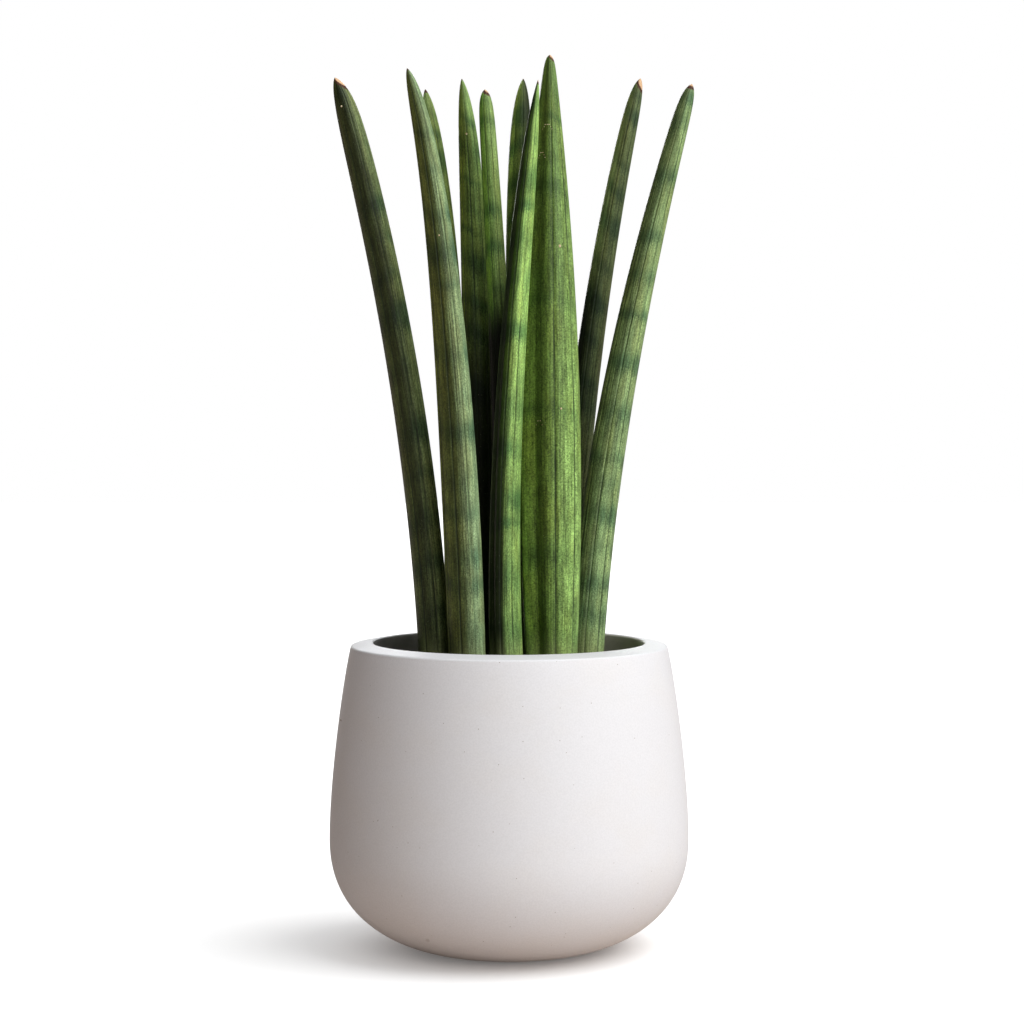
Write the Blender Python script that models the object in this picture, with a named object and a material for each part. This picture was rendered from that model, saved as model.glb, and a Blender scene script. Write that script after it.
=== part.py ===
# Cylindrical snake plant standing in a round, matte white ceramic pot.
#
# The pot is one turned shell, the potting mix is one body with a plain hole for each leaf,
# and every leaf is a solid of its own: a stiff, near round spear with a channel down its
# inner face, shallow lengthwise grooves, and a plain round root that stands in its hole.
#
# Driving dimensions are in millimetres. The scene is in metres, +Z up, with its origin
# at the middle of the pot's foot. -Y is the front and +X is to the right.

import math
from dataclasses import dataclass

import bmesh
import bpy
from mathutils import Vector

MM = 0.001
GAP = 0.3                      # clear space between two solids that touch on the real plant
SHARP_EDGE = 30.0              # degrees between two faces that are shaded apart

# Pot
POT_HEIGHT = 170.2
POT_WIDEST_RADIUS = 100.0
POT_WIDEST_HEIGHT = 60.0
POT_FOOT_RADIUS = 45.0
POT_FLOOR = 10.0               # thickness of the bottom
POT_WALL = 9.5                 # thickness at the widest height
POT_STEPS = 48                 # facets round the pot and the potting mix
RIM_OUTER_RADIUS = 87.7
RIM_INNER_RADIUS = 75.2
RIM_ROUNDING = 1.5
RIM_STEPS = 3                  # facets across each rounded edge of the rim
NECK_PULL = (2.8, 8.6)         # how the outer wall leaves the rim: outwards, downwards
NECK_INNER_PULL = (3.5, 40.0)  # the same for the inner wall
BELLY_PULL = 38.8              # how far the belly stays upright above its widest height
BOWL_PULL = 0.88               # share of the widest height that stays upright below it
BOWL_INNER_PULL = 48.0         # the same for the inner wall, as a length
INNER_WAIST_RAISE = 4.0        # how much higher the inner wall is at its widest
POT_INNER_FOOT_RADIUS = 44.0
INNER_STEPS = (6, 7)           # facets down the inner wall: neck, bowl
OUTER_STEPS = (7, 8)           # the same for the outer wall

# Potting mix
SOIL_HEIGHT = 142.0            # 28 mm below the rim
SOIL_WALL_GAP = 0.4            # sideways, so that it is GAP square to the sloping wall
SOIL_MOUND = 3.0               # how much higher it lies in the middle
SOIL_WAVE = 1.2
SOIL_WAVE_TURN = (0.11, 0.09)  # radians a millimetre, along x and y
SOIL_WAVE_START = (0.7, -0.4)
SOIL_RINGS = 4
HOLE_SIDES = 24
HOLE_REACH = 20.0              # how far a hole's cutter stands out of the mix

# Leaves
SECTION_PANELS = 8             # panels round a leaf: one holds the channel, grooves part the rest
LEAF_STATIONS = 17             # rings from the tip to the potting mix, closer at the tip
CHANNEL_HALF_WIDTH = 32.0      # degrees
CHANNEL_DEPTH_FOOT = 0.30      # as a share of the leaf's radius
CHANNEL_DEPTH_TIP = 0.04
GROOVE_HALF_WIDTH = 5.0        # degrees
GROOVE_DEPTH = 0.045           # as a share of the leaf's radius
POINT_POWER = 0.8              # how bluntly a leaf starts at its tip
TIP_LEAN_LENGTH = 8.0          # length of the slanted end of a leaf
ROOT_DEPTH = 24.0
ROOT_SHARE = 0.84              # thickness of the root against that of the leaf's foot
ROOT_TOP = 5.0                 # how far the root stands out of the level of the mix
ROOT_FLARE = 14.0              # height in which the root widens into the leaf


@dataclass
class Leaf:
    name: str
    foot: tuple                # x, y on the potting mix
    tip: tuple                 # x, y, z
    bend: float                # how far the leaf's curve is drawn towards +X
    bend_at: float             # where, as a share of its length from the foot
    thick: tuple               # thickness near the tip, half way and at the foot
    point: float               # length in which the tip thickens
    channel: float             # degrees from the front, towards +X, that the channel faces
    lean: float = 0.0          # sideways shift of the very tip


LEAVES = (
    Leaf(
        name="leaf_outer_left",
        foot=(-40.1, -8.0),
        tip=(-93.2, -14.0, 480.6),
        bend=19.6,
        bend_at=0.49,
        thick=(14.3, 17.1, 17.9),
        point=9.5,
        channel=150.0,
        lean=-2.0,
    ),
    Leaf(
        name="leaf_front_left",
        foot=(-22.5, -23.0),
        tip=(-54.8, -40.0, 482.6),
        bend=17.7,
        bend_at=0.78,
        thick=(8.3, 19.0, 20.3),
        point=8.5,
        channel=-105.0,
    ),
    Leaf(
        name="leaf_back_left",
        foot=(-30.0, 23.0),
        tip=(-47.4, 36.0, 479.8),
        bend=15.8,
        bend_at=0.62,
        thick=(10.3, 14.4, 15.0),
        point=11.2,
        channel=165.0,
    ),
    Leaf(
        name="leaf_inner_left",
        foot=(-15.5, 12.0),
        tip=(-26.4, 15.0, 483.3),
        bend=8.0,
        bend_at=0.8,
        thick=(10.9, 17.4, 16.5),
        point=15.5,
        channel=175.0,
    ),
    Leaf(
        name="leaf_slim",
        foot=(-6.6, -4.0),
        tip=(-13.3, -6.0, 475.0),
        bend=12.4,
        bend_at=0.24,
        thick=(8.4, 12.3, 14.0),
        point=3.8,
        channel=-112.0,
    ),
    Leaf(
        name="leaf_back_middle",
        foot=(7.0, 17.0),
        tip=(8.0, 30.0, 485.0),
        bend=-4.4,
        bend_at=0.8,
        thick=(14.0, 15.5, 15.2),
        point=16.0,
        channel=190.0,
    ),
    Leaf(
        name="leaf_front_middle",
        foot=(-0.4, -23.0),
        tip=(15.8, -20.0, 478.8),
        bend=-14.4,
        bend_at=0.38,
        thick=(13.5, 15.9, 19.0),
        point=44.0,
        channel=-62.0,
    ),
    Leaf(
        name="leaf_tallest",
        foot=(23.4, -9.0),
        tip=(22.4, -2.0, 494.4),
        bend=-1.3,
        bend_at=0.8,
        thick=(5.1, 32.8, 26.5),
        point=1.8,
        channel=-36.0,
    ),
    Leaf(
        name="leaf_back_right",
        foot=(30.2, 26.0),
        tip=(74.1, 46.0, 487.0),
        bend=-17.2,
        bend_at=0.53,
        thick=(8.8, 15.0, 16.5),
        point=6.2,
        channel=125.0,
        lean=0.6,
    ),
    Leaf(
        name="leaf_outer_right",
        foot=(41.7, 9.0),
        tip=(101.0, 12.0, 480.0),
        bend=-20.3,
        bend_at=0.44,
        thick=(8.7, 18.2, 20.6),
        point=4.4,
        channel=-140.0,
        lean=0.6,
    ),
)


# Scene and materials

def clear_scene():
    for thing in list(bpy.data.objects):
        bpy.data.objects.remove(thing, do_unlink=True)


def make_material(name, color, roughness):
    material = bpy.data.materials.new(name)
    material.use_nodes = True
    shader = material.node_tree.nodes["Principled BSDF"]
    shader.inputs["Base Color"].default_value = (*color, 1.0)
    shader.inputs["Roughness"].default_value = roughness
    shader.inputs["Metallic"].default_value = 0.0
    material.diffuse_color = (*color, 1.0)
    return material


def add_object(bm, name, material=None, collection=None):
    bmesh.ops.recalc_face_normals(bm, faces=bm.faces)
    mesh = bpy.data.meshes.new(name)
    bm.to_mesh(mesh)
    bm.free()
    thing = bpy.data.objects.new(name, mesh)
    if material:
        mesh.materials.append(material)
    (collection or bpy.context.scene.collection).objects.link(thing)
    return thing


def shade_round(thing):
    """Smooth shading that keeps edges sharper than SHARP_EDGE."""
    thing.data.shade_smooth()
    thing.data.set_sharp_from_angle(angle=math.radians(SHARP_EDGE))


# Outlines and turned bodies

def bezier(start, pull_start, pull_end, end, count):
    points = []
    for i in range(count + 1):
        t = i / count
        s = 1.0 - t
        weights = (s * s * s, 3 * s * s * t, 3 * s * t * t, t * t * t)
        corners = (start, pull_start, pull_end, end)
        radius = sum(w * c[0] for w, c in zip(weights, corners))
        height = sum(w * c[1] for w, c in zip(weights, corners))
        points.append((radius, height))
    return points


def arc(centre, radius, start, end, count):
    angles = [math.radians(start + (end - start) * i / count) for i in range(count + 1)]
    return [(centre[0] + radius * math.cos(a), centre[1] + radius * math.sin(a)) for a in angles]


def turn(outline, steps):
    """Closed body from an outline of (radius, height) points that starts and ends on the axis."""
    bm = bmesh.new()
    verts = [bm.verts.new((radius * MM, 0.0, height * MM)) for radius, height in outline]
    edges = [bm.edges.new(pair) for pair in zip(verts, verts[1:])]
    bmesh.ops.spin(
        bm,
        geom=verts + edges,
        cent=(0.0, 0.0, 0.0),
        axis=(0.0, 0.0, 1.0),
        angle=2.0 * math.pi,
        steps=steps,
        use_duplicate=False,
    )
    bmesh.ops.remove_doubles(bm, verts=bm.verts, dist=0.01 * MM)
    return bm


# Pot

def inner_wall():
    """The pot's inside from under the rim down to its floor."""
    inner_radius = POT_WIDEST_RADIUS - POT_WALL
    waist = (inner_radius, POT_WIDEST_HEIGHT + INNER_WAIST_RAISE)
    start = (RIM_INNER_RADIUS, POT_HEIGHT - RIM_ROUNDING)
    neck = bezier(
        start,
        (start[0] + NECK_INNER_PULL[0], start[1] - NECK_INNER_PULL[1]),
        (waist[0], waist[1] + BELLY_PULL),
        waist,
        INNER_STEPS[0],
    )
    floor_edge = (POT_INNER_FOOT_RADIUS, POT_FLOOR)
    pull = (waist[0], waist[1] - BOWL_INNER_PULL)
    bowl = bezier(waist, pull, floor_edge, floor_edge, INNER_STEPS[1])
    return neck + bowl[1:]


def outer_wall():
    """The pot's outside from under the rim down to its foot."""
    widest = (POT_WIDEST_RADIUS, POT_WIDEST_HEIGHT)
    start = (RIM_OUTER_RADIUS, POT_HEIGHT - RIM_ROUNDING)
    neck = bezier(
        start,
        (start[0] + NECK_PULL[0], start[1] - NECK_PULL[1]),
        (widest[0], widest[1] + BELLY_PULL),
        widest,
        OUTER_STEPS[0],
    )
    foot_edge = (POT_FOOT_RADIUS, 0.0)
    pull = (widest[0], widest[1] * (1.0 - BOWL_PULL))
    bowl = bezier(widest, pull, foot_edge, foot_edge, OUTER_STEPS[1])
    return neck + bowl[1:]


def make_pot():
    lip = POT_HEIGHT - RIM_ROUNDING
    inner_centre = (RIM_INNER_RADIUS + RIM_ROUNDING, lip)
    outer_centre = (RIM_OUTER_RADIUS - RIM_ROUNDING, lip)
    inner_edge = arc(inner_centre, RIM_ROUNDING, 180.0, 90.0, RIM_STEPS)
    outer_edge = arc(outer_centre, RIM_ROUNDING, 90.0, 0.0, RIM_STEPS)
    outline = [(0.0, POT_FLOOR)]
    outline += inner_wall()[::-1]
    outline += inner_edge[1:] + outer_edge
    outline += outer_wall()[1:]
    outline.append((0.0, 0.0))
    ceramic = make_material("pot", (0.82, 0.80, 0.79), 0.6)
    pot = add_object(turn(outline, POT_STEPS), "pot", ceramic)
    shade_round(pot)


# Leaves

def axis_point(leaf, share):
    """Point on the leaf's curved axis: share 0 is at the foot and 1 at the tip."""
    foot = Vector((*leaf.foot, SOIL_HEIGHT))
    tip = Vector(leaf.tip)
    pull = foot.lerp(tip, leaf.bend_at) + Vector((leaf.bend, 0.0, 0.0))
    t = share
    uneven = 1.0 - 2.0 * leaf.bend_at
    if abs(uneven) > 0.001:
        t = (math.sqrt(leaf.bend_at**2 + uneven * share) - leaf.bend_at) / uneven
    return (1.0 - t) ** 2 * foot + 2.0 * (1.0 - t) * t * pull + t * t * tip


def axis_direction(leaf, share):
    step = 0.01
    return (axis_point(leaf, share + step) - axis_point(leaf, share - step)).normalized()


def leaf_radius(leaf, distance, length):
    """Radius at a distance from the tip: a rounded point on a body that thickens downwards."""
    near_tip, middle, foot = leaf.thick
    w = min(distance / length, 1.0)
    body = near_tip * (1.0 - w) * (1.0 - 2.0 * w) + middle * 4.0 * w * (1.0 - w)
    body += foot * w * (2.0 * w - 1.0)
    return 0.5 * body * (1.0 - math.exp(-((distance / leaf.point) ** POINT_POWER)))


def section_angles():
    """Degrees round a leaf, from the middle of its channel."""
    pitch = 360.0 / SECTION_PANELS
    angles = [-CHANNEL_HALF_WIDTH, -0.5 * CHANNEL_HALF_WIDTH, 0.0]
    angles += [0.5 * CHANNEL_HALF_WIDTH, CHANNEL_HALF_WIDTH]
    for panel in range(1, SECTION_PANELS):
        middle = panel * pitch
        angles += [middle - GROOVE_HALF_WIDTH, middle, middle + GROOVE_HALF_WIDTH]
    return angles


def section_share(angle, down):
    """Share of the full radius at an angle; down runs from 0 at the tip to 1 at the foot."""
    pitch = 360.0 / SECTION_PANELS
    to_channel = abs((angle + 180.0) % 360.0 - 180.0)
    if to_channel < CHANNEL_HALF_WIDTH:
        depth = CHANNEL_DEPTH_TIP + (CHANNEL_DEPTH_FOOT - CHANNEL_DEPTH_TIP) * down
        return 1.0 - depth * (1.0 - to_channel / CHANNEL_HALF_WIDTH)
    to_groove = abs((angle + 0.5 * pitch) % pitch - 0.5 * pitch)
    return 1.0 - GROOVE_DEPTH * max(0.0, 1.0 - to_groove / GROOVE_HALF_WIDTH)


def leaf_ring(centre, direction, channel, radii):
    """Ring of points square to the leaf's axis, one for each section angle."""
    turn_angle = math.radians(channel)
    facing = Vector((math.sin(turn_angle), -math.cos(turn_angle), 0.0))
    facing = (facing - direction * facing.dot(direction)).normalized()
    across = direction.cross(facing)
    ring = []
    for angle, radius in zip(section_angles(), radii):
        a = math.radians(angle)
        ring.append(centre + radius * (math.cos(a) * facing + math.sin(a) * across))
    return ring


def root_axis(leaf, below):
    """Point on the line that carries the leaf's axis down into the potting mix."""
    return axis_point(leaf, 0.0) - axis_direction(leaf, 0.0) * below


def leaf_rings(leaf):
    """Rings from the tip down to the flare, and a plain round root below it."""
    length = (Vector(leaf.tip) - axis_point(leaf, 0.0)).length
    angles = section_angles()
    body_length = length - ROOT_TOP - ROOT_FLARE
    rings = []
    for station in range(1, LEAF_STATIONS + 1):
        distance = body_length * (station / LEAF_STATIONS) ** 2
        down = distance / length
        radius = leaf_radius(leaf, distance, length)
        centre = axis_point(leaf, 1.0 - down)
        centre.x += leaf.lean * math.exp(-distance / TIP_LEAN_LENGTH)
        radii = [radius * section_share(angle, down) for angle in angles]
        rings.append(leaf_ring(centre, axis_direction(leaf, 1.0 - down), leaf.channel, radii))
    root_radii = [0.5 * ROOT_SHARE * leaf.thick[2]] * len(angles)
    direction = axis_direction(leaf, 0.0)
    for below in (-ROOT_TOP, ROOT_DEPTH):
        rings.append(leaf_ring(root_axis(leaf, below), direction, leaf.channel, root_radii))
    return rings


def make_leaf(leaf, material):
    bm = bmesh.new()
    tip = Vector(leaf.tip)
    tip.x += leaf.lean
    apex = bm.verts.new(tip * MM)
    rings = [[bm.verts.new(point * MM) for point in ring] for ring in leaf_rings(leaf)]
    count = len(rings[0])
    for i in range(count):
        bm.faces.new((apex, rings[0][i], rings[0][(i + 1) % count]))
    for upper, lower in zip(rings, rings[1:]):
        for i in range(count):
            j = (i + 1) % count
            bm.faces.new((upper[i], lower[i], lower[j]))
            bm.faces.new((upper[i], lower[j], upper[j]))
    bm.faces.new(rings[-1])
    shade_round(add_object(bm, leaf.name, material))


# Potting mix

def soil_rise(x, y, edge):
    """Height of the mix's surface over its level: a low mound with a slow wave, level at the edge."""
    spread = min(math.hypot(x, y) / edge, 1.0)
    turn_x, turn_y = SOIL_WAVE_TURN
    start_x, start_y = SOIL_WAVE_START
    wave = math.sin(turn_x * x + start_x) * math.cos(turn_y * y + start_y)
    return (SOIL_MOUND + SOIL_WAVE * wave) * (1.0 - spread * spread)


def make_root_hole(leaf, collection):
    """Plain round hole that clears the leaf's root by GAP all round and below."""
    radius = (0.5 * ROOT_SHARE * leaf.thick[2] + GAP) / math.cos(math.pi / HOLE_SIDES)
    depth = ROOT_DEPTH + GAP
    bm = bmesh.new()
    bmesh.ops.create_cone(
        bm,
        cap_ends=True,
        segments=HOLE_SIDES,
        radius1=radius * MM,
        radius2=radius * MM,
        depth=(depth + HOLE_REACH) * MM,
    )
    cutter = add_object(bm, leaf.name + "_hole", collection=collection)
    direction = axis_direction(leaf, 0.0)
    cutter.location = root_axis(leaf, 0.5 * (depth - HOLE_REACH)) * MM
    cutter.rotation_mode = "QUATERNION"
    cutter.rotation_quaternion = Vector((0.0, 0.0, 1.0)).rotation_difference(direction)
    cutter.hide_render = True
    cutter.display_type = "WIRE"


def make_soil():
    """Potting mix that fills the pot to its level, with a hole for each leaf's root."""
    wall = [(r - SOIL_WALL_GAP, z + GAP) for r, z in inner_wall() if z < SOIL_HEIGHT]
    level = SOIL_HEIGHT
    steps = zip(inner_wall(), inner_wall()[1:])
    above, below = next(step for step in steps if step[1][1] < level)
    share = (above[1] - level) / (above[1] - below[1])
    edge = above[0] + (below[0] - above[0]) * share - SOIL_WALL_GAP
    outline = [(0.0, wall[-1][1])]
    outline += wall[::-1]
    outline += [(edge * (1.0 - i / SOIL_RINGS), level) for i in range(SOIL_RINGS + 1)]
    bm = turn(outline, POT_STEPS)
    for vert in bm.verts:
        if vert.co.z > (level - 1.0) * MM:
            vert.co.z += soil_rise(vert.co.x / MM, vert.co.y / MM, edge) * MM
    bmesh.ops.triangulate(bm, faces=bm.faces)
    soil = add_object(bm, "soil", make_material("soil", (0.06, 0.04, 0.03), 0.95))
    holes = bpy.data.collections.new("root_holes")
    bpy.context.scene.collection.children.link(holes)
    for leaf in LEAVES:
        make_root_hole(leaf, holes)
    cut = soil.modifiers.new("root_holes", "BOOLEAN")
    cut.operand_type = "COLLECTION"
    cut.collection = holes
    cut.operation = "DIFFERENCE"
    cut.solver = "EXACT"


def main():
    clear_scene()
    make_pot()
    make_soil()
    for leaf in LEAVES:
        make_leaf(leaf, make_material(leaf.name, (0.10, 0.20, 0.06), 0.45))


main()
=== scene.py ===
import math

import bmesh
import bpy
import numpy as np
from mathutils import Euler, Matrix, Vector


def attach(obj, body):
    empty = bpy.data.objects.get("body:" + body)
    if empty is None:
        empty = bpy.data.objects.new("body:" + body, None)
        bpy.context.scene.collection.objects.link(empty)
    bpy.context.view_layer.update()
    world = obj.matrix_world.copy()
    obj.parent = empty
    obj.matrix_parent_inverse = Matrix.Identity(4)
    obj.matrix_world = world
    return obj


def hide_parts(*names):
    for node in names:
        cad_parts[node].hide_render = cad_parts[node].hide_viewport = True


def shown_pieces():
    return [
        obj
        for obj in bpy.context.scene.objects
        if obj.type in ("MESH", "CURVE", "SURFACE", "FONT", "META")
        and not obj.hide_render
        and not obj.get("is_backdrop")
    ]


# Potted cylindrical snake plant: stiff grooved leaves in a matte white pot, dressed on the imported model.
# Lengths in the dictionaries are in millimetres unless a note says otherwise.

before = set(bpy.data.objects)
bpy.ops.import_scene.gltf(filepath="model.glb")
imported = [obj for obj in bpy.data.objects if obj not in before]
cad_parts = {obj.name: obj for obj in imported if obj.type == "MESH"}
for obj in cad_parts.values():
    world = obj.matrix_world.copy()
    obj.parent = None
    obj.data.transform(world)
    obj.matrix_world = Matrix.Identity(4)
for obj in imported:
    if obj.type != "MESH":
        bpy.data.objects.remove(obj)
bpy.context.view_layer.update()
mm = 0.001
fullTurn = 2.0 * math.pi
anyTurn = (0.0, 6.28)       # range of the random angles
midNoise = (0.3, 0.7)       # most values of a noise lie between these
print("frame loaded:", len(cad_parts), "nodes")


# small helpers for node trees

def addNode(tree, kind, inputs=None, **settings):
    node = tree.nodes.new(kind)
    for name, value in settings.items():
        setattr(node, name, value)
    for name, value in (inputs or {}).items():
        if isinstance(value, bpy.types.NodeSocket):
            tree.links.new(value, node.inputs[name])
        else:
            node.inputs[name].default_value = value
    return node


def calc(tree, operation, a, b=0.0):
    return addNode(tree, "ShaderNodeMath", {0: a, 1: b}, operation=operation).outputs[0]


def add(tree, a, b):
    return calc(tree, "ADD", a, b)


def times(tree, a, b):
    return calc(tree, "MULTIPLY", a, b)


def offCentre(tree, noise, amount):
    # noise lies round 0.5, and this gives its distance from there
    return times(tree, calc(tree, "SUBTRACT", noise, 0.5), amount)


def mixTones(tree, share, a, b, blend="MIX"):
    inputs = {0: share, 6: a, 7: b}
    node = addNode(tree, "ShaderNodeMix", inputs, data_type="RGBA", blend_type=blend, clamp_factor=True)
    return node.outputs[2]


def tint(tree, color, other):
    return mixTones(tree, 1.0, color, other, "MULTIPLY")


def evenTone(tree, value):
    return addNode(tree, "ShaderNodeCombineColor", {0: value, 1: value, 2: value}).outputs[0]


def stretch(tree, vector, scale):
    return addNode(tree, "ShaderNodeVectorMath", {0: vector, 1: scale}, operation="MULTIPLY").outputs[0]


def cloud(tree, place, texture):
    # texture is (scale along each axis, detail, roughness)
    scale, detail, roughness = texture
    inputs = {"Vector": stretch(tree, place, scale), "Scale": 1.0, "Detail": detail, "Roughness": roughness}
    return addNode(tree, "ShaderNodeTexNoise", inputs).outputs["Fac"]


def remap(tree, value, low, high, toLow=0.0, toHigh=1.0):
    inputs = {"Value": value, "From Min": low, "From Max": high, "To Min": toLow, "To Max": toHigh}
    return addNode(tree, "ShaderNodeMapRange", inputs, interpolation_type="SMOOTHSTEP").outputs["Result"]


def startMaterial(name):
    material = bpy.data.materials.new(name)
    material.use_nodes = True
    tree = material.node_tree
    return material, tree, tree.nodes["Principled BSDF"]


def setSkin(tree, shader, color, roughness, relief=None, strength=0.0, depth=0.0):
    # colour, roughness and fine relief of a shader; depth is in metres
    tree.links.new(color, shader.inputs["Base Color"])
    if isinstance(roughness, bpy.types.NodeSocket):
        tree.links.new(roughness, shader.inputs["Roughness"])
    else:
        shader.inputs["Roughness"].default_value = roughness
    if relief:
        bump = addNode(tree, "ShaderNodeBump", {"Strength": strength, "Distance": depth, "Height": relief})
        tree.links.new(bump.outputs[0], shader.inputs["Normal"])


def objectPlace(tree):
    # place on the object, in millimetres
    return stretch(tree, addNode(tree, "ShaderNodeTexCoord").outputs["Object"], (1.0 / mm,) * 3)


def readAttribute(tree, name, output="Fac"):
    return addNode(tree, "ShaderNodeAttribute", attribute_name=name).outputs[output]


def tone(r, g, b):
    return (r, g, b, 1.0)


noTint = tone(1.0, 1.0, 1.0)


# small helpers for meshes

def finishPiece(mesh, name, node, materials):
    for material in materials:
        mesh.materials.append(material)
    mesh.shade_smooth()
    piece = bpy.data.objects.new(name, mesh)
    bpy.context.scene.collection.objects.link(piece)
    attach(piece, "root")
    if node:
        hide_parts(node)
    return piece


def gridMesh(name, rings, firstPole, lastPole):
    # rings: (count, around, 3) in mm, joined ring to ring and closed by a pole at each end
    count, around = rings.shape[:2]
    points = rings.reshape(-1, 3)
    steps = np.arange(around)
    after = (steps + 1) % around
    faces = []
    for i in range(count - 1):
        a = i * around
        b = a + around
        faces += np.stack((a + steps, b + steps, b + after, a + after), axis=1).tolist()
    first = len(points)
    last = (count - 1) * around
    faces += [(first, int(s), int(t)) for s, t in zip(steps, after)]
    faces += [(first + 1, int(last + t), int(last + s)) for s, t in zip(steps, after)]
    points = np.vstack((points, firstPole, lastPole))
    mesh = bpy.data.meshes.new(name)
    mesh.from_pydata((points * mm).tolist(), [], faces)
    mesh.update()
    return mesh


def putAttribute(mesh, name, values, kind="FLOAT"):
    layer = mesh.attributes.new(name, kind, "POINT")
    key = "vector" if kind == "FLOAT_VECTOR" else "value"
    layer.data.foreach_set(key, np.asarray(values, dtype=np.float32).ravel())


def smoothStep(values, low, high):
    t = np.clip((values - low) / (high - low), 0.0, 1.0)
    return t * t * (3.0 - 2.0 * t)


def bezier(start, pullStart, pullEnd, end, count):
    t = np.linspace(0.0, 1.0, count + 1)[:, None]
    s = 1.0 - t
    corners = [np.array(c, dtype=float) for c in (start, pullStart, pullEnd, end)]
    return s**3 * corners[0] + 3 * s * s * t * corners[1] + 3 * s * t * t * corners[2] + t**3 * corners[3]


# the pot, turned on its axis

pot = {
    "height": 170.2,
    "widestRadius": 100.0,
    "widestHeight": 60.0,
    "footRadius": 45.0,
    "floor": 10.0,              # thickness of the bottom
    "wall": 9.5,                # thickness at the widest height
    "rimOuter": 87.7,
    "rimInner": 75.2,
    "rimRounding": 1.5,
    "rimFall": 1.6,             # how far the rim drops towards its outer edge
    "rimSteps": 8,
    "neckPull": (2.8, 8.6),
    "neckInnerPull": (3.5, 40.0),
    "bellyPull": 38.8,
    "bowlPull": 0.88,
    "bowlInnerPull": 48.0,
    "innerWaistRaise": 4.0,
    "innerFoot": 44.0,
    "floorRings": (15.0, 30.0),
    "aroundSteps": 192,
    "wallSteps": 40,
    "clay": tone(0.785, 0.782, 0.803),
    # tone of the warm clay, and of the painted warm bounce at the foot
    "warmClayAndBounce": tone(0.775, 0.75, 0.735),
    "warmDrift": (0.4, 0.72, 0.0, 0.35),
    "warmBounceFoot": (38.0, 2.0, 0.0, 0.55),         # painted warm bounce from the floor, warmer from this height down
    "drift": ((0.022, 0.022, 0.03), 3.0, 0.55),
    "grain": ((1.1, 1.1, 1.1), 3.0, 0.6),
    "grainLift": (0.3, 0.7, 0.97, 1.03),
    "turning": ((0.01, 0.01, 0.55), 2.0, 0.5),  # faint rings from the wheel
    "reliefShares": (0.7, 0.15),                # of the grain and of the turning rings
    "pitScale": 0.16,
    "pitEdge": (0.045, 0.03),
    "speck": tone(0.30, 0.26, 0.22),
    "flaws": ((-43.5, 16.5, 1.6, 0.30), (-92.6, 128.5, 0.7, 0.85)),     # x, height, radius, strength
    "flawCore": 0.4,                            # share of its radius where a flaw is full
    "flawFront": (5.0, 0.0),                    # the flaws are at the front alone
    "flawTone": tone(0.36, 0.31, 0.27),
    "roughness": (0.3, 0.7, 0.58, 0.72),
    "shine": 0.35,
    "relief": (0.2, 0.0002),                    # strength, and depth in metres
}

inside = {
    "tone": tone(0.20, 0.195, 0.18),
    "deepTone": tone(0.13, 0.12, 0.118),
    "paintedLightTone": tone(0.66, 0.64, 0.55),
    "paintedLightSide": (20.0, 66.0),                   # painted light, paler towards the right, from here to here
    "drift": ((0.05, 0.05, 0.09), 3.0, 0.55),
    "grain": ((1.4, 1.4, 1.4), 3.0, 0.6),
    "roughness": (0.3, 0.7, 0.5, 0.62),
    "relief": (0.2, 0.0002),
    "edgeSteps": 3,                             # how far it reaches up the rounding of the rim
}


def innerWall(count):
    waist = (pot["widestRadius"] - pot["wall"], pot["widestHeight"] + pot["innerWaistRaise"])
    start = (pot["rimInner"], pot["height"] - pot["rimRounding"])
    pull = (start[0] + pot["neckInnerPull"][0], start[1] - pot["neckInnerPull"][1])
    neck = bezier(start, pull, (waist[0], waist[1] + pot["bellyPull"]), waist, count)
    foot = (pot["innerFoot"], pot["floor"])
    bowl = bezier(waist, (waist[0], waist[1] - pot["bowlInnerPull"]), foot, foot, count)
    return np.vstack((neck, bowl[1:]))


def outerWall(count):
    widest = (pot["widestRadius"], pot["widestHeight"])
    start = (pot["rimOuter"], pot["height"] - pot["rimRounding"])
    pull = (start[0] + pot["neckPull"][0], start[1] - pot["neckPull"][1])
    neck = bezier(start, pull, (widest[0], widest[1] + pot["bellyPull"]), widest, count)
    foot = (pot["footRadius"], 0.0)
    bowl = bezier(widest, (widest[0], widest[1] * (1.0 - pot["bowlPull"])), foot, foot, count)
    return np.vstack((neck, bowl[1:]))


def rimEdge(radius, start, end):
    angles = np.radians(np.linspace(start, end, pot["rimSteps"] + 1))
    size = pot["rimRounding"]
    lip = pot["height"] - size
    return np.stack((radius + size * np.cos(angles), lip + size * np.sin(angles)), 1)


def turned(outline, around):
    angles = np.linspace(0.0, fullTurn, around, endpoint=False)
    rings = np.empty((len(outline), around, 3))
    rings[:, :, 0] = outline[:, :1] * np.cos(angles)
    rings[:, :, 1] = outline[:, :1] * np.sin(angles)
    rings[:, :, 2] = outline[:, 1:]
    return rings


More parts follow.
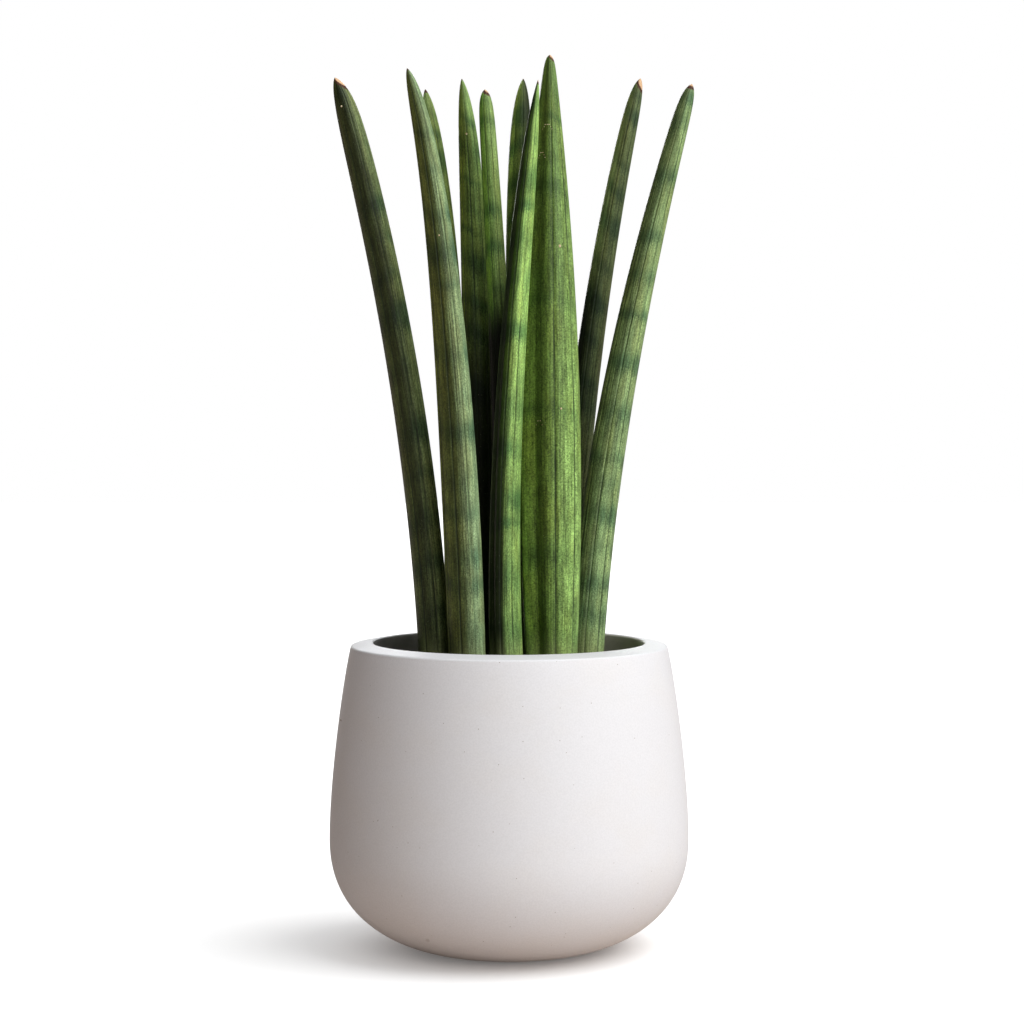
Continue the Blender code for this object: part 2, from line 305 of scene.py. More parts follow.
def ceramicMaterial():
    material, tree, shader = startMaterial("matteWhiteCeramic")
    place = objectPlace(tree)
    drift = cloud(tree, place, pot["drift"])
    grain = cloud(tree, place, pot["grain"])
    turning = cloud(tree, place, pot["turning"])
    pits = addNode(tree, "ShaderNodeTexVoronoi", {"Vector": place, "Scale": pot["pitScale"]})
    x, y, z = addNode(tree, "ShaderNodeSeparateXYZ", {0: place}).outputs
    # random warmth of the clay, and painted warm bounce from the floor towards the foot
    warm = add(tree, remap(tree, drift, *pot["warmDrift"]), remap(tree, z, *pot["warmBounceFoot"]))
    color = mixTones(tree, warm, pot["clay"], pot["warmClayAndBounce"])
    color = mixTones(tree, remap(tree, pits.outputs["Distance"], *pot["pitEdge"]), color, pot["speck"])
    front = remap(tree, y, *pot["flawFront"])
    for across, up, radius, strength in pot["flaws"]:
        aside = calc(tree, "SUBTRACT", x, across)
        above = calc(tree, "SUBTRACT", z, up)
        away = calc(tree, "SQRT", add(tree, times(tree, aside, aside), times(tree, above, above)))
        share = times(tree, remap(tree, away, radius, pot["flawCore"] * radius, 0.0, strength), front)
        color = mixTones(tree, share, color, pot["flawTone"])
    color = tint(tree, color, evenTone(tree, remap(tree, grain, *pot["grainLift"])))
    grainShare, turningShare = pot["reliefShares"]
    relief = add(tree, times(tree, grain, grainShare), times(tree, turning, turningShare))
    setSkin(tree, shader, color, remap(tree, drift, *pot["roughness"]), relief, *pot["relief"])
    shader.inputs["Specular IOR Level"].default_value = pot["shine"]
    return material


def insideMaterial():
    # a dark grey inside
    material, tree, shader = startMaterial("darkInside")
    place = objectPlace(tree)
    drift = cloud(tree, place, inside["drift"])
    across = addNode(tree, "ShaderNodeSeparateXYZ", {0: place}).outputs["X"]
    color = mixTones(tree, remap(tree, drift, *midNoise), inside["deepTone"], inside["tone"])
    # painted light: paler towards the right of the inside
    color = mixTones(tree, remap(tree, across, *inside["paintedLightSide"]), color, inside["paintedLightTone"])
    roughness = remap(tree, drift, *inside["roughness"])
    setSkin(tree, shader, color, roughness, cloud(tree, place, inside["grain"]), *inside["relief"])
    return material


def makePot():
    count, around = pot["wallSteps"], pot["aroundSteps"]
    floorPart = np.array([(radius, pot["floor"]) for radius in pot["floorRings"]])
    inner = innerWall(count)[::-1]
    innerEdge = rimEdge(pot["rimInner"] + pot["rimRounding"], 180.0, 90.0)
    outer = outerWall(count)
    edgeHeight = pot["height"] - pot["rimRounding"] - pot["rimFall"]
    edgeRadius = float(np.interp(edgeHeight, outer[::-1, 1], outer[::-1, 0]))
    outerEdge = rimEdge(edgeRadius - pot["rimRounding"], 90.0, 0.0) - (0.0, pot["rimFall"])
    outer = outer[outer[:, 1] < edgeHeight]
    under = np.array([(radius, 0.0) for radius in pot["floorRings"][::-1]])
    outline = np.vstack((floorPart, inner, innerEdge[1:], outerEdge, outer, under))
    mesh = gridMesh("pot_ceramic", turned(outline, around), (0, 0, pot["floor"]), (0, 0, 0))
    # the dark inside: the wall's rings, and the fan that closes the floor
    darkRings = len(floorPart) + len(inner) + inside["edgeSteps"]
    slots = np.zeros(len(mesh.polygons), dtype=np.int32)
    slots[:darkRings * around] = 1
    slots[(len(outline) - 1) * around:len(outline) * around] = 1
    mesh.polygons.foreach_set("material_index", slots)
    return finishPiece(mesh, "pot_ceramic", "pot", [ceramicMaterial(), insideMaterial()])


potPiece = makePot()
print("pot turned:", len(potPiece.data.polygons), "faces")


# the leaves

soilLevel = 142.0

leafForm = {
    "alongSteps": 210,
    "stepPower": 1.6,           # rings stand closer at the tip
    "channelHalf": 32.0,        # degrees
    "channelAngles": (1.5, 4.0, 8.0, 12.0, 16.0, 20.0, 24.0, 27.0, 29.5, 31.0, 32.5, 34.5),
    "channelDepthFoot": 0.30,   # share of the radius
    "channelDepthTip": 0.04,
    "channelFlat": 0.55,        # share of the half where the painted shade is full
    "panels": 8,
    "panelAngles": (0.0, 1.2, 2.6, 5.0, 8.0, 12.0, 17.0, 22.5),
    "panelClear": 4.0,          # degrees between the channel's edge and the first panel angle
    "panelBulge": 0.0072,
    "grooveHalf": 5.0,          # degrees
    "grooveClear": 2.0,
    "grooveDepth": 0.045,
    "pointPower": 0.8,
    "tipLeanLength": 8.0,
    "rootShare": 0.84,
    "rootTop": 5.0,
    "rootFlare": 14.0,
    "rootDepth": 12.0,
    "mapRadius": 10.0,          # radius of the straight bar that the skin is drawn on
}

# thick is near the tip, in the middle and at the foot; channel is where it faces, in degrees from the front
# left and right are tones with painted light and shade, one side darker and the other lighter as the light
# falls; on the lower front, over fade, they are multiplied by painted shade below 1 and painted light above
# 1
# point is how blunt the tip is, and lean pushes it aside; turn and hollow replace the skin's own values
# dry is (brown length, cream length, slant); bands are (distance from the tip, half height, strength)
leaves = [
    {"name": "leaf_outer_left", "foot": (-40.1, -8.0), "tip": (-93.2, -14.0, 480.6),
     "bend": 19.6, "bendAt": 0.49, "thick": (14.3, 17.1, 17.9), "point": 9.5, "channel": 150.0, "lean": -2.0,
     "left": tone(0.026, 0.034, 0.010), "right": tone(0.200, 0.260, 0.105),
     "paintedShadeAndLight": (1.35, 1.05), "dry": (2.4, 1.7, 4.2), "turn": (-0.10, 1.10),
     "bands": ((10, 5, 0.5), (41, 3, 0.3), (74, 5, 0.6), (92, 3, 0.4), (112, 4, 0.5), (134, 7, 0.9),
               (163, 5, 0.4), (198, 7, 0.7), (222, 3, 0.5), (247, 7, 0.9), (271, 6, 0.9), (300, 7, 0.6))},
    {"name": "leaf_front_left", "foot": (-22.5, -23.0), "tip": (-54.8, -40.0, 482.6),
     "bend": 17.7, "bendAt": 0.78, "thick": (8.3, 19.0, 20.3), "point": 8.5, "channel": -105.0,
     "left": tone(0.056, 0.070, 0.016), "right": tone(0.255, 0.360, 0.180),
     "paintedShadeAndLight": (0.90, 1.02), "dry": (1.2, 0.0, 0.0), "turn": (-0.14, 0.76),
     "bands": ((34, 3, 0.4), (54, 3, 0.3), (78, 4, 0.6), (98, 7, 0.8), (115, 3, 0.5), (154, 6, 0.6),
               (178, 4, 0.4), (195, 6, 0.8), (222, 6, 0.3), (240, 4, 0.4), (264, 6, 0.6), (280, 5, 0.7),
               (306, 6, 0.4))},
    {"name": "leaf_back_left", "foot": (-30.0, 23.0), "tip": (-47.4, 36.0, 479.8),
     "bend": 15.8, "bendAt": 0.62, "thick": (10.3, 14.4, 15.0), "point": 11.2, "channel": 165.0,
     "left": tone(0.160, 0.245, 0.080), "right": tone(0.215, 0.300, 0.080),
     "paintedShadeAndLight": (0.60, 0.60), "dry": (2.2, 0.0, 0.0),
     "bands": ((13, 3, 0.3), (24, 3, 0.6), (39, 6, 0.7), (62, 5, 0.5), (90, 5, 0.6), (120, 6, 0.6),
               (150, 6, 0.5), (185, 7, 0.7), (220, 6, 0.6), (255, 7, 0.7), (290, 6, 0.6))},
    {"name": "leaf_inner_left", "foot": (-15.5, 12.0), "tip": (-26.4, 15.0, 483.3),
     "bend": 8.0, "bendAt": 0.8, "thick": (10.9, 17.4, 16.5), "point": 15.5, "channel": 175.0,
     "left": tone(0.072, 0.104, 0.016), "right": tone(0.255, 0.400, 0.120),
     "paintedShadeAndLight": (0.13, 0.03), "dry": (0.8, 0.0, 0.0), "fade": (60.0, 185.0),
     "bands": ((24, 3, 0.5), (40, 5, 0.7), (58, 2, 0.4), (74, 4, 0.5), (86, 2, 0.5), (103, 6, 0.9),
               (126, 4, 0.9), (143, 6, 0.6), (174, 6, 0.9), (209, 5, 0.8), (226, 6, 0.6), (250, 7, 0.7),
               (275, 6, 0.6))},
    {"name": "leaf_slim", "foot": (-6.6, -4.0), "tip": (-13.3, -6.0, 475.0),
     "bend": 12.4, "bendAt": 0.24, "thick": (8.4, 12.3, 14.0), "point": 3.8, "channel": -112.0,
     "left": tone(0.082, 0.170, 0.021), "right": tone(0.300, 0.450, 0.150),
     "paintedShadeAndLight": (0.01, 0.03), "dry": (2.0, 0.8, 1.5), "fade": (92.0, 140.0),
     "bands": ((8, 4, 0.4), (19, 3, 0.7), (45, 3, 0.2), (68, 4, 0.6), (88, 4, 0.6), (111, 3, 0.4),
               (138, 7, 0.9), (165, 7, 0.7), (190, 6, 0.6), (220, 7, 0.7), (255, 7, 0.6), (288, 6, 0.6))},
    {"name": "leaf_back_middle", "foot": (7.0, 17.0), "tip": (8.0, 30.0, 485.0),
     "bend": -4.4, "bendAt": 0.8, "thick": (14.0, 15.5, 15.2), "point": 16.0, "channel": 190.0,
     "left": tone(0.160, 0.230, 0.052), "right": tone(0.028, 0.042, 0.013),
     "paintedShadeAndLight": (0.28, 0.25), "dry": (0.8, 0.0, 0.0), "fade": (40.0, 105.0),
     "bands": ((22, 6, 0.8), (39, 5, 0.7), (60, 5, 0.7), (80, 5, 0.6), (110, 6, 0.6), (145, 6, 0.7),
               (180, 7, 0.6), (220, 6, 0.7), (260, 7, 0.6), (295, 6, 0.6))},
    {"name": "leaf_front_middle", "foot": (-0.4, -23.0), "tip": (15.8, -20.0, 478.8),
     "bend": -14.4, "bendAt": 0.38, "thick": (13.5, 15.9, 19.0), "point": 44.0, "channel": -62.0,
     "left": tone(0.033, 0.066, 0.008), "right": tone(0.345, 0.570, 0.155),
     "paintedShadeAndLight": (0.22, 0.70), "dry": (1.4, 0.9, 0.8), "turn": (-0.34, 0.36), "hollow": 0.9,
     "bands": ((12, 4, 0.6), (32, 3, 0.4), (54, 8, 0.6), (68, 3, 0.6), (86, 7, 0.7), (107, 5, 0.5),
               (136, 5, 0.8), (162, 4, 0.4), (178, 7, 0.6), (200, 5, 0.6), (228, 6, 0.7), (241, 3, 0.7),
               (270, 9, 0.5), (300, 8, 0.7))},
    {"name": "leaf_tallest", "foot": (23.4, -9.0), "tip": (22.4, -2.0, 494.4),
     "bend": -1.3, "bendAt": 0.8, "thick": (5.1, 32.8, 26.5), "point": 1.8, "channel": -36.0,
     "left": tone(0.078, 0.130, 0.022), "right": tone(0.215, 0.350, 0.100),
     "paintedShadeAndLight": (1.25, 1.28), "dry": (1.6, 0.6, 2.0), "turn": (-0.30, 1.00), "hollow": 0.40,
     "bands": ((22, 9, 0.4), (36, 2, 0.6), (61, 5, 0.3), (75, 5, 0.5), (98, 5, 0.3), (124, 7, 0.25),
               (137, 4, 0.35), (197, 4, 0.35), (222, 5, 0.15), (277, 7, 0.45), (304, 6, 0.3),
               (320, 5, 0.3))},
    {"name": "leaf_back_right", "foot": (30.2, 26.0), "tip": (74.1, 46.0, 487.0),
     "bend": -17.2, "bendAt": 0.53, "thick": (8.8, 15.0, 16.5), "point": 6.2, "channel": 125.0, "lean": 0.6,
     "left": tone(0.110, 0.145, 0.050), "right": tone(0.128, 0.170, 0.070),
     "paintedShadeAndLight": (0.02, 0.80), "dry": (2.0, 3.4, 3.2), "fade": (80.0, 140.0),
     "bands": ((9, 3, 0.5), (21, 4, 0.8), (49, 3, 0.4), (65, 4, 0.6), (84, 6, 0.7), (108, 3, 0.4),
               (129, 5, 0.8), (150, 4, 0.6), (174, 4, 0.7), (186, 5, 0.8), (213, 5, 0.5), (245, 7, 0.6),
               (280, 7, 0.6))},
    {"name": "leaf_outer_right", "foot": (41.7, 9.0), "tip": (101.0, 12.0, 480.0),
     "bend": -20.3, "bendAt": 0.44, "thick": (8.7, 18.2, 20.6), "point": 4.4, "channel": -140.0, "lean": 0.6,
     "left": tone(0.050, 0.066, 0.024), "right": tone(0.262, 0.385, 0.160),
     "paintedShadeAndLight": (1.10, 0.96), "dry": (1.8, 1.2, 0.0), "turn": (-0.90, 0.60),
     "bands": ((10, 4, 0.7), (24, 5, 0.4), (54, 5, 0.6), (88, 4, 0.5), (110, 4, 0.5), (132, 3, 0.6),
               (159, 5, 0.9), (187, 6, 0.5), (212, 4, 0.6), (227, 4, 0.4), (245, 6, 0.8), (264, 4, 0.5),
               (283, 5, 0.9), (301, 6, 0.8))},
]


def axisPoints(leaf, share):
    # points of the bent axis, at shares of the way from the foot to the tip
    foot = np.array((*leaf["foot"], soilLevel))
    tip = np.array(leaf["tip"])
    at = leaf["bendAt"]
    pull = foot + (tip - foot) * at + np.array((leaf["bend"], 0.0, 0.0))
    t = share
    uneven = 1.0 - 2.0 * at
    if abs(uneven) > 0.001:
        t = (np.sqrt(at**2 + uneven * share) - at) / uneven
    t = np.asarray(t)[:, None]
    return (1.0 - t) ** 2 * foot + 2.0 * (1.0 - t) * t * pull + t * t * tip


def halfTurn(angle):
    return (angle + 180.0) % 360.0 - 180.0


def sectionAngles():
    # degrees from the middle of the channel, closer together at the grooves
    form = leafForm
    angles = [0.0]
    for a in form["channelAngles"]:
        angles += [a, -a]
    for panel in range(1, form["panels"]):
        middle = halfTurn(panel * 360.0 / form["panels"])
        for a in form["panelAngles"]:
            for side in ((a, -a) if 0.0 < a < form["panelAngles"][-1] else (a,)):
                angle = halfTurn(middle + side)
                if abs(angle) > form["channelHalf"] + form["panelClear"]:
                    angles.append(angle)
    return np.array(sorted(set(angles)))


def sectionShare(angles, down, fade):
    # share of the full radius, for every ring (rows) and angle (columns)
    form = leafForm
    away = np.abs(angles)[None, :]
    depth = form["channelDepthTip"] + (form["channelDepthFoot"] - form["channelDepthTip"]) * down[:, None]
    t = np.clip(away / form["channelHalf"], 0.0, 1.0)
    hollow = depth * (0.5 * (1.0 - t) + 0.25 * (1.0 + np.cos(math.pi * t)))
    panelHalf = 180.0 / form["panels"]
    toGroove = np.abs((away + panelHalf) % (2.0 * panelHalf) - panelHalf)
    g = np.clip(1.0 - toGroove / form["grooveHalf"], 0.0, 1.0)
    groove = np.where(away > form["channelHalf"] + form["grooveClear"], g * g * (3.0 - 2.0 * g), 0.0)
    bulge = form["panelBulge"] * (np.cos(toGroove / panelHalf * math.pi) * 0.5 + 0.5)
    bulge = np.where(away > form["channelHalf"], bulge, 0.0)
    share = 1.0 - (hollow + form["grooveDepth"] * groove + bulge) * fade[:, None]
    within = 1.0 - smoothStep(away, form["channelFlat"] * form["channelHalf"], form["channelHalf"])
    return share, np.broadcast_to(groove, share.shape), np.broadcast_to(within, share.shape)


def leafPoints(leaf):
    # rings of points, their places on a straight bar, the values that the skin reads, and the root's end
    form = leafForm
    foot = np.array((*leaf["foot"], soilLevel))
    length = np.linalg.norm(np.array(leaf["tip"]) - foot)
    whole = length + form["rootDepth"]
    steps = np.arange(1, form["alongSteps"] + 1) / form["alongSteps"]
    distance = whole * steps ** form["stepPower"]
    share = 1.0 - distance / length
    centre = axisPoints(leaf, np.maximum(share, 0.0))
    along = np.clip(share, 0, 1)
    direction = axisPoints(leaf, along + 0.01) - axisPoints(leaf, along - 0.01)
    direction /= np.linalg.norm(direction, axis=1)[:, None]
    centre -= direction * np.maximum(distance - length, 0.0)[:, None]
    centre[:, 0] += leaf.get("lean", 0.0) * np.exp(-distance / form["tipLeanLength"])
    # thickness through three values, rounded to a point at the tip and drawn in at the root
    nearTip, middle, footThick = leaf["thick"]
    w = np.minimum(distance / length, 1.0)
    body = nearTip * (1 - w) * (1 - 2 * w) + middle * 4 * w * (1 - w) + footThick * w * (2 * w - 1)
    radius = 0.5 * body * (1.0 - np.exp(-((distance / leaf["point"]) ** form["pointPower"])))
    bodyEnd = length - form["rootTop"] - form["rootFlare"]
    flare = smoothStep(distance, bodyEnd, bodyEnd + form["rootFlare"])
    radius = radius * (1.0 - flare) + 0.5 * form["rootShare"] * footThick * flare
    angles = sectionAngles()
    profile, groove, channel = sectionShare(angles, w, 1.0 - flare)
    # the channel's direction, square to the axis
    turnAngle = math.radians(leaf["channel"])
    facing = np.array((math.sin(turnAngle), -math.cos(turnAngle), 0.0))
    facing = facing - direction * (direction @ facing)[:, None]
    facing /= np.linalg.norm(facing, axis=1)[:, None]
    across = np.cross(direction, facing)
    a = np.radians(angles)
    outward = np.cos(a)[None, :, None] * facing[:, None, :] + np.sin(a)[None, :, None] * across[:, None, :]
    points = centre[:, None, :] + (radius[:, None] * profile)[:, :, None] * outward
    straight = np.empty_like(points)
    straight[:, :, 0] = form["mapRadius"] * np.cos(a)
    straight[:, :, 1] = form["mapRadius"] * np.sin(a)
    straight[:, :, 2] = distance[:, None]
    # side and ahead carry the painted light and shade round the leaf
    values = {"groove": groove, "channel": channel, "side": outward[:, :, 0], "ahead": -outward[:, :, 1]}
    return points, straight, values, centre[-1], length


skin = {
    "stripe": ((1.5, 1.5, 0.022), 3.0, 0.62),
    "veins": ((2.6, 2.6, 0.05), 2.0, 0.6),
    "dashes": ((2.2, 2.2, 0.45), 2.0, 0.6),
    "grain": ((1.5, 1.5, 1.1), 3.0, 0.75),
    "patch": ((0.11, 0.11, 0.022), 3.0, 0.6),
    "mottle": ((0.42, 0.42, 0.075), 4.0, 0.65),
    "seedShift": (13.7, 7.3, 5.1),      # moves the noise from leaf to leaf
    "turn": (-0.85, 0.95),              # where the left tone turns into the right one, across the leaf
    "turnWander": 0.9,
    "shadeStart": 70.0,                 # distance from the tip where the painted shade begins
    "shadeEnd": 60.0,                   # and from the foot where it is full
    "shadeFront": (-0.25, 0.35),        # round the leaf, from side to front
    "farLeft": (-0.30, -0.88, 1.0, 2.3),    # how much painted light brightens the far left
    # painted shade in the channel: how dark it is, and its tone
    "hollow": 0.35,
    "channelShadeTone": tone(0.016, 0.024, 0.008),
    "oldPatch": (0.42, 0.68, 0.0, 0.8),
    "oldTint": tone(1.08, 0.95, 0.82),
    "bandSway": 2.2,
    "bandSwayTwice": 0.6,               # share of the sway that goes up and down twice round the leaf
    "bandUneven": 0.25,                 # how much weaker and stronger a band gets round the leaf
    "bandSoft": 1.25,
    "bandRagged": 7.0,
    "bandStriped": 11.2,
    "bandPatch": (0.3, 0.7, 1.15, 0.8),
    "bandReach": (-0.05, 0.72),
    "bandTint": tone(0.36, 0.47, 0.50),     # what a full band multiplies the skin's tone by
    "veinReach": (0.49, 0.34),
    "veinDash": (0.36, 0.60, 0.25, 1.0),
    "veinShare": 0.75,
    "veinTone": tone(0.35, 0.42, 0.34),
    "grainLift": (0.28, 0.72, 0.50, 1.62),
    "stripeLift": (0.3, 0.7, 0.78, 1.25),
    "mottleLift": (0.3, 0.7, 0.70, 1.30),
    "dotScale": (0.8, 0.8, 0.55),
    "dotReach": (0.10, 0.04, 0.0, 0.45),
    "dotTone": tone(0.50, 0.55, 0.38),
    # painted shade along the bottom of the grooves
    "grooveReach": (0.5, 0.95),
    "grooveBreak": (0.36, 0.62, 0.95, 0.45),
    "grooveShadeTone": tone(0.014, 0.026, 0.012),
    "footReach": (40.0, 6.0),           # above the mix
    "footShare": 0.7,
    "footTone": tone(0.26, 0.28, 0.13),
    "dryRagged": 3.0,
    "driedEdge": (0.6, -0.4),
    "driedTone": tone(0.075, 0.028, 0.014),
    "creamEdge": (0.3, -0.3),
    "creamTone": tone(0.80, 0.52, 0.30),
    "roughness": (0.3, 0.7, 0.32, 0.46),
    "shine": 0.20,
    "reliefShares": (0.5, 0.5),         # of the veins and of the grain
    "relief": (0.6, 0.00035),           # strength, and depth in metres
}


def leafBands(leaf, straight, seed):
    # darker cross bands and how steeply they change along the leaf
    rng = np.random.default_rng(seed)
    a = np.arctan2(straight[:, :, 1], straight[:, :, 0])
    sway = np.sin(a + rng.uniform(*anyTurn))
    sway = skin["bandSway"] * (sway + skin["bandSwayTwice"] * np.sin(2.0 * a + rng.uniform(*anyTurn)))
    d = straight[:, :, 2] + sway
    uneven = skin["bandUneven"]
    value = np.zeros_like(d)
    slope = np.zeros_like(d)
    for middle, half, strength in leaf["bands"]:
        width = half * skin["bandSoft"]
        around = 1.0 - uneven + uneven * np.sin(a * rng.integers(1, 3) + rng.uniform(*anyTurn))
        bump = strength * around * np.exp(-(((d - middle) / width) ** 2))
        slope += -2.0 * (d - middle) / width**2 * bump
        value += bump
    return {"band": value, "slope": slope}


def leafMaterial(leaf, length, seed):
    material, tree, shader = startMaterial(leaf["name"] + "_skin")
    shift = tuple(seed * step for step in skin["seedShift"])
    place = readAttribute(tree, "straight", "Vector")
    place = addNode(tree, "ShaderNodeVectorMath", {0: place, 1: shift}, operation="ADD").outputs[0]
    groove, down, side = (readAttribute(tree, name) for name in ("groove", "down", "side"))
    textures = ("stripe", "veins", "dashes", "grain", "patch", "mottle")
    stripe, veins, dashes, grain, patch, mottle = (cloud(tree, place, skin[name]) for name in textures)
    # skin tone round the leaf with painted light and shade: left and right tones, painted shade and light on
    # the lower front, a painted lift at the far left and painted shade in the channel, with older patches
    across = add(tree, side, offCentre(tree, stripe, skin["turnWander"]))
    ahead = remap(tree, readAttribute(tree, "ahead"), *skin["shadeFront"])
    fade = leaf.get("fade", (skin["shadeStart"], length - skin["shadeEnd"]))
    sides = []
    # painted shade and light on the lower front, on the fronts alone
    for high, paintedShadeAndLight in zip((leaf["left"], leaf["right"]), leaf["paintedShadeAndLight"]):
        low = tone(*(c * paintedShadeAndLight for c in high[:3]))
        sides.append(mixTones(tree, times(tree, remap(tree, down, *fade), ahead), high, low))
    # painted light and shade across the leaf, from the left tone into the right one
    color = mixTones(tree, remap(tree, across, *leaf.get("turn", skin["turn"])), *sides)
    # painted light: the far left made brighter
    color = tint(tree, color, evenTone(tree, remap(tree, side, *skin["farLeft"])))
    # painted shade in the channel
    hollow = times(tree, readAttribute(tree, "channel"), leaf.get("hollow", skin["hollow"]))
    color = mixTones(tree, hollow, color, skin["channelShadeTone"])
    share = remap(tree, patch, *skin["oldPatch"])
    color = tint(tree, color, mixTones(tree, share, noTint, skin["oldTint"]))
    # ragged cross bands
    ragged = offCentre(tree, stripe, skin["bandStriped"])
    ragged = add(tree, ragged, offCentre(tree, grain, skin["bandRagged"]))
    band = add(tree, readAttribute(tree, "band"), times(tree, readAttribute(tree, "slope"), ragged))
    band = times(tree, band, remap(tree, patch, *skin["bandPatch"]))
    share = remap(tree, band, *skin["bandReach"])
    color = tint(tree, color, mixTones(tree, share, noTint, skin["bandTint"]))
    # fine lengthwise veins, grain, dots and the painted shade along the bottom of each groove
    line = times(tree, remap(tree, veins, *skin["veinReach"]), remap(tree, dashes, *skin["veinDash"]))
    share = times(tree, line, skin["veinShare"])
    color = tint(tree, color, mixTones(tree, share, noTint, skin["veinTone"]))
    lift = times(tree, remap(tree, grain, *skin["grainLift"]), remap(tree, stripe, *skin["stripeLift"]))
    lift = times(tree, lift, remap(tree, mottle, *skin["mottleLift"]))
    color = tint(tree, color, evenTone(tree, lift))
    dotPlace = stretch(tree, place, skin["dotScale"])
    dots = addNode(tree, "ShaderNodeTexVoronoi", {"Vector": dotPlace, "Scale": 1.0}).outputs["Distance"]
    color = mixTones(tree, remap(tree, dots, *skin["dotReach"]), color, skin["dotTone"])
    deep = times(tree, remap(tree, groove, *skin["grooveReach"]), remap(tree, stripe, *skin["grooveBreak"]))
    color = mixTones(tree, deep, color, skin["grooveShadeTone"])
    # paler foot and dried tip
    footStart, footEnd = (length - reach for reach in skin["footReach"])
    share = remap(tree, down, footStart, footEnd, 0.0, skin["footShare"])
    color = mixTones(tree, share, color, skin["footTone"])
    brown, cream, slant = leaf["dry"]
    edge = calc(tree, "SUBTRACT", down, times(tree, side, slant))
    edge = add(tree, edge, offCentre(tree, grain, skin["dryRagged"]))
    driedEdge = (cream + brown + reach for reach in skin["driedEdge"])
    color = mixTones(tree, remap(tree, edge, *driedEdge), color, skin["driedTone"])
    creamEdge = (cream + reach for reach in skin["creamEdge"])
    color = mixTones(tree, remap(tree, edge, *creamEdge), color, skin["creamTone"])
    veinShare, grainShare = skin["reliefShares"]
    relief = add(tree, times(tree, veins, veinShare), times(tree, grain, grainShare))
    setSkin(tree, shader, color, remap(tree, grain, *skin["roughness"]), relief, *skin["relief"])
    shader.inputs["Specular IOR Level"].default_value = skin["shine"]
    return material


def makeLeaf(leaf, seed):
    points, straight, values, last, length = leafPoints(leaf)
    tip = np.array(leaf["tip"])
    tip[0] += leaf.get("lean", 0.0)
    name = leaf["name"] + "_skin"
    mesh = gridMesh(name, points, tip, last)
    flat = straight.reshape(-1, 3)
    flat = np.vstack((flat, (0, 0, 0), (0, 0, straight[-1, 0, 2])))
    values.update(leafBands(leaf, straight, seed))
    putAttribute(mesh, "straight", flat, "FLOAT_VECTOR")
    putAttribute(mesh, "down", flat[:, 2])
    for key, layer in values.items():
        putAttribute(mesh, key, np.append(layer.ravel(), (0, 0)))
    return finishPiece(mesh, name, leaf["name"], [leafMaterial(leaf, length, seed)])


for number, leaf in enumerate(leaves):
    piece = makeLeaf(leaf, number + 1)
print("leaves grown:", len(leaves), "of", len(piece.data.polygons), "faces")


# small dried scars on the leaves

marks = {
    # (leaf, distance from the tip, degrees from the front, size, reach of an arc in degrees)
    "spots": (
        ("leaf_outer_left", 16.0, -22.0, 0.50, 0.0), ("leaf_inner_left", 31.0, -8.0, 0.55, 0.0),
        ("leaf_front_left", 90.0, 2.0, 0.45, 0.0), ("leaf_tallest", 106.0, 27.0, 0.80, 0.0),
        ("leaf_tallest", 194.0, 22.0, 0.55, 0.0), ("leaf_tallest", 38.5, -8.0, 0.26, 22.0),
        ("leaf_tallest", 54.0, -30.0, 0.26, 16.0), ("leaf_tallest", 201.0, -24.0, 0.28, 9.0),
    ),
    "arcSteps": 9,
    "arcDrop": 3.0,             # how much lower the ends of an arc lie
    "spotShape": (1.0, 0.6, 1.1),
    "arcShape": (1.0, 0.6, 0.8),
    "texture": ((1.0, 1.0, 1.0), 2.0, 0.5),
    "toneReach": (0.35, 0.65),
    "dark": tone(0.52, 0.36, 0.16),
    "pale": tone(0.80, 0.70, 0.48),
    "roughness": 0.6,
}


def skinPoint(rings, straight, distance, turn):
    # the point of a leaf's skin at a distance from its tip, turned away from the front
    row = int(np.argmin(np.abs(straight[:, 0, 2] - distance)))
    ring = rings[row]
    out = ring - ring.mean(axis=0)
    heading = np.degrees(np.arctan2(out[:, 0], -out[:, 1]))
    return ring[int(np.argmin(np.abs(heading - turn)))]


def makeMarks():
    skins = {leaf["name"]: leafPoints(leaf)[:2] for leaf in leaves}
    bm = bmesh.new()
    for name, distance, turn, size, reach in marks["spots"]:
        shape = marks["arcShape"] if reach else marks["spotShape"]
        for step in (np.linspace(-1.0, 1.0, marks["arcSteps"]) if reach else (0.0,)):
            away = distance + marks["arcDrop"] * step * step
            point = skinPoint(*skins[name], away, turn + reach * step)
            place = Matrix.LocRotScale(Vector(point) * mm, None, Vector(shape))
            bmesh.ops.create_icosphere(bm, subdivisions=2, radius=size * mm, matrix=place)
    mesh = bpy.data.meshes.new("leaf_marks")
    bm.to_mesh(mesh)
    bm.free()
    material, tree, shader = startMaterial("driedMarks")
    grain = remap(tree, cloud(tree, objectPlace(tree), marks["texture"]), *marks["toneReach"])
    setSkin(tree, shader, mixTones(tree, grain, marks["dark"], marks["pale"]), marks["roughness"])
    return finishPiece(mesh, "leaf_marks", None, [material])


makeMarks()
print("marks on the leaves:", len(marks["spots"]))


# the potting mix

